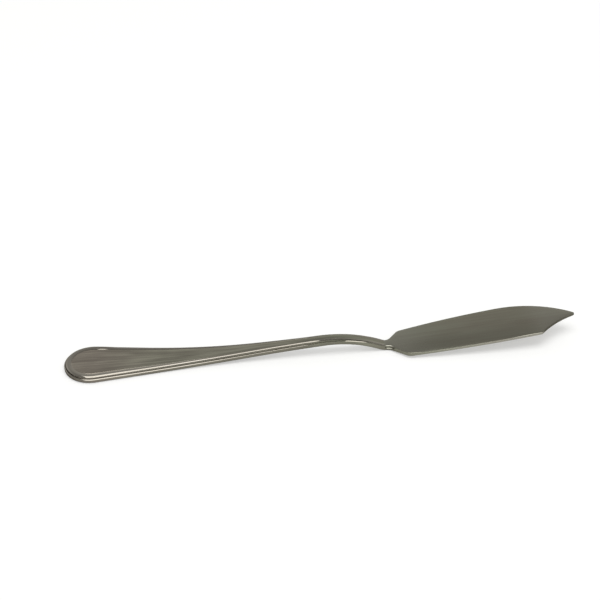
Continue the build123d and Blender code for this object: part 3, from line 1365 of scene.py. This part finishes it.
    def build(self, placing: Placing, material: bpy.types.Material) -> bpy.types.Object:
        """Makes the blade as rings across it, from the neck to the tip.

        A ring joins the points at the same share of the length of the two sides. It crosses the top
        from the back to the edge, goes down the upper rim, the side and a quarter round, and back
        under the blade and up the other side.

        Args:
            placing: Where the plan lies in the part's frame.
            material: The finish.

        Returns:
            The blade's object.
        """
        share = np.linspace(0.0, 1.0, self.stations)
        back_side, edge_side = self.sides(share)
        along = edge_side.along
        lines = self.run_out(along)
        thinned = self.thinned(along)
        across = self.across()
        ring = Ring.with_face(across.size)
        back_insets, back_drops = self.upper_rim(back_side.along, 0.0, 0.0)
        edge_insets, edge_drops = self.upper_rim(along, self.worn_off(along), lines)
        foot_insets = self.edge_round * ROUND_IN * np.ones_like(along)
        foot_rise = self.edge_round * ROUND_DOWN
        back = back_side.moved_in(back_insets)
        edge = edge_side.moved_in(edge_insets)
        span = edge[:, :1] - back[:, :1]
        face = back[:, :1] + span * across[:, None]
        flat = np.concatenate([face, edge, edge_side.moved_in(foot_insets)[:, ::-1], face[:, ::-1],
                               back_side.moved_in(foot_insets), back[:, ::-1]], axis=1)
        width = np.linalg.norm(span, axis=-1)
        at_rim = self.roll + self.rolled(width)
        top = self.profile.top(flat[..., 0])
        z = self.profile.under(flat[..., 0])
        z[:, ring.face] = top[:, ring.face] + self.face_lift(share, width, thinned)
        z[:, ring.edge_rim] = top[:, ring.edge_rim] - edge_drops - at_rim - thinned
        z[:, ring.edge_foot] += foot_rise[::-1]
        z[:, ring.back_foot] += foot_rise
        z[:, ring.back_rim] = top[:, ring.back_rim] - back_drops[:, ::-1] - at_rim
        shell = Shell()
        index = shell.add_grid(np.concatenate([flat, z[..., None]], axis=-1), flat,
                               *self.shades(along, lines, ring), wrap=True, flip=True)
        shell.caps.append(index[0])
        # Hard edges along both sides of each line
        lined = int(np.count_nonzero(along < self.run_out_x[-1]))
        rim = index[:lined, ring.edge_rim]
        shell.creases += [rim[:, corner] for corner in self.line_corners]
        return shell.piece("blade_body", placing, material, Slot.BLADE, "blade")


@dataclass
class Studio:
    """White table, soft light from above, and a long lens from the edge's side."""

    elevation: float = 36.946
    azimuth: float = -6.388
    distance: float = 600.0
    # Pixels to a millimetre at the origin, and the pixel that the origin falls on
    scale: float = 2.5597
    centre: tuple[float, float] = (322.68, 349.20)
    sensor: float = 36.0
    # From here on the studio is in metres
    clip_start: float = 0.01
    table_size: float = 12.0
    table_z: float = -0.00002
    table: str = "#D2D2D0"
    table_roughness: float = 0.9
    table_glow: float = 0.41
    lamp_x: tuple[float, float] = (-0.54, 0.75)
    lamp_depth: float = 0.9
    lamp_y: float = -0.1
    lamp_z: float = 1.3
    lamp_radiance: float = 2.45
    # Brightness of the room by height, from the table's level to straight overhead
    room: tuple[tuple[float, float], ...] = (
        (0.0, 0.8), (0.3, 0.84), (0.45, 0.8), (0.6, 0.61), (0.75, 0.42), (0.88, 0.4), (1.0, 0.45))

    def build(self) -> None:
        """Sets the table, the lamp, the room and the camera."""
        self.lay_table()
        self.hang_lamp()
        self.paint_room()
        self.set_camera()
        bpy.context.scene.view_settings.view_transform = "Standard"

    def lay_table(self) -> None:
        """White table top under the knife.

        It is matt laminate, so it keeps a soft shadow and no reflection. A glow that only the camera
        and mirrors see makes it look white.
        """
        half = self.table_size / 2.0
        mesh = bpy.data.meshes.new("table")
        mesh.from_pydata([(-half, -half, self.table_z), (half, -half, self.table_z),
                          (half, half, self.table_z), (-half, half, self.table_z)],
                         [], [(0, 1, 2, 3)])
        material = bpy.data.materials.new("white_laminate")
        tree = empty_tree(material)
        rays = add_node(tree, "ShaderNodeLightPath").outputs
        seen = rays["Is Camera Ray"]
        for kind in ("Is Glossy Ray", "Is Transmission Ray"):
            seen = add_node(tree, "ShaderNodeMath", {0: seen, 1: rays[kind]}, operation="ADD",
                            use_clamp=True).outputs[0]
        glow = add_node(tree, "ShaderNodeMath", {0: seen, 1: self.table_glow}, operation="MULTIPLY")
        shader = add_node(tree, "ShaderNodeBsdfPrincipled",
                          {"Base Color": linear_colour(self.table),
                           "Roughness": self.table_roughness, "Specular IOR Level": 0.0,
                           "Emission Color": (1.0, 1.0, 1.0, 1.0),
                           "Emission Strength": glow.outputs[0]})
        add_node(tree, "ShaderNodeOutputMaterial", {"Surface": shader.outputs["BSDF"]})
        mesh.materials.append(material)
        table = add_object("table", mesh)

    def hang_lamp(self) -> None:
        """One soft lamp above the knife, facing down. Its ends are where the bright lines stop."""
        first, last = self.lamp_x
        data = bpy.data.lights.new("overhead_softbox", "AREA")
        data.shape = "RECTANGLE"
        data.size = last - first
        data.size_y = self.lamp_depth
        data.energy = self.lamp_radiance * np.pi * data.size * data.size_y
        lamp = add_object("overhead_softbox", data)
        lamp.location = ((first + last) / 2.0, self.lamp_y, self.lamp_z)

    def paint_room(self) -> None:
        """Plain grey room: pale round the table, dim above, and a little paler straight overhead."""
        world = bpy.data.worlds.new("grey_room")
        tree = empty_tree(world)
        place = add_node(tree, "ShaderNodeTexCoord")
        split = add_node(tree, "ShaderNodeSeparateXYZ", {"Vector": place.outputs["Generated"]})
        ramp = add_node(tree, "ShaderNodeValToRGB", {"Fac": split.outputs["Z"]})
        stops = ramp.color_ramp.elements
        # A new ramp already has its first and last stop
        for height, _ in self.room[1:-1]:
            stops.new(height)
        for stop, (height, level) in zip(stops, self.room):
            stop.position = height
            stop.color = (level, level, level, 1.0)
        sky = add_node(tree, "ShaderNodeBackground", {"Color": ramp.outputs["Color"]})
        add_node(tree, "ShaderNodeOutputWorld", {"Surface": sky.outputs["Background"]})
        bpy.context.scene.world = world

    def set_camera(self) -> None:
        """Camera that looks at the part's origin, with the picture's centre moved off it."""
        turn, tilt = np.radians([self.azimuth, self.elevation])
        right = np.array([np.cos(turn), np.sin(turn), 0.0])
        back = np.array([np.sin(turn) * np.cos(tilt), -np.cos(turn) * np.cos(tilt), np.sin(tilt)])
        data = bpy.data.cameras.new("camera")
        data.sensor_width = self.sensor
        data.lens = self.scale * self.distance / IMAGE_PIXELS * self.sensor
        data.shift_x = 0.5 - self.centre[0] / IMAGE_PIXELS
        data.shift_y = self.centre[1] / IMAGE_PIXELS - 0.5
        data.clip_start = self.clip_start
        placed = np.eye(4)
        placed[:3, :3] = np.stack([right, np.cross(back, right), back], axis=1)
        placed[:3, 3] = back * self.distance * MM
        camera = add_object("camera", data)
        camera.matrix_world = Matrix(placed.tolist())
        bpy.context.scene.camera = camera


def main() -> None:
    """Builds the knife piece by piece, then the studio."""
    logging.basicConfig(level=logging.INFO)
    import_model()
    placing = Placing.from_frame()
    profile = SideProfile()
    plan = StemPlan()
    outer = BorderThread(
        "outer_thread_line", "outer_thread", Level.LEDGE, plan, profile, start=(0.04, 0.04),
        crest=(0.42, 0.42), end=(0.64, 0.53), foot=0.0, rise=0.2, inner_share=0.0, inner_power=1.3,
        slims_to=0.57, slim_end=70.0, sunk=(92.0, 102.0), bury=0.05, risen=(107.0, 109.6),
        runs_in=0.3)
    inner = BorderThread(
        "inner_thread_line", "inner_thread", Level.FIELD, plan, profile, start=(0.69, 0.56),
        crest=(1.3, 0.92), end=plan.inner_thread_end, foot=-0.2, rise=0.35, inner_share=0.58,
        inner_power=2.0, slims_to=0.65, slim_end=85.0, sunk=(93.5, 100.5), bury=-0.004,
        worn_drop=0.07, swells=((14.5, 7.0, 0.2),))
    pieces = Stem(plan, profile).build(placing, HANDLE_STEEL.material())
    thread_material = THREAD_STEEL.material()
    pieces += [thread.build(placing, thread_material) for thread in (outer, inner)]
    pieces.append(Blade(BladePlan(), profile).build(placing, BLADE_STEEL.material()))
    for piece in pieces:
        mesh = piece.data
        LOG.info("%s: %d points, %d faces", piece.name, len(mesh.vertices), len(mesh.polygons))
    Studio().build()


if __name__ == "__main__":
    main()
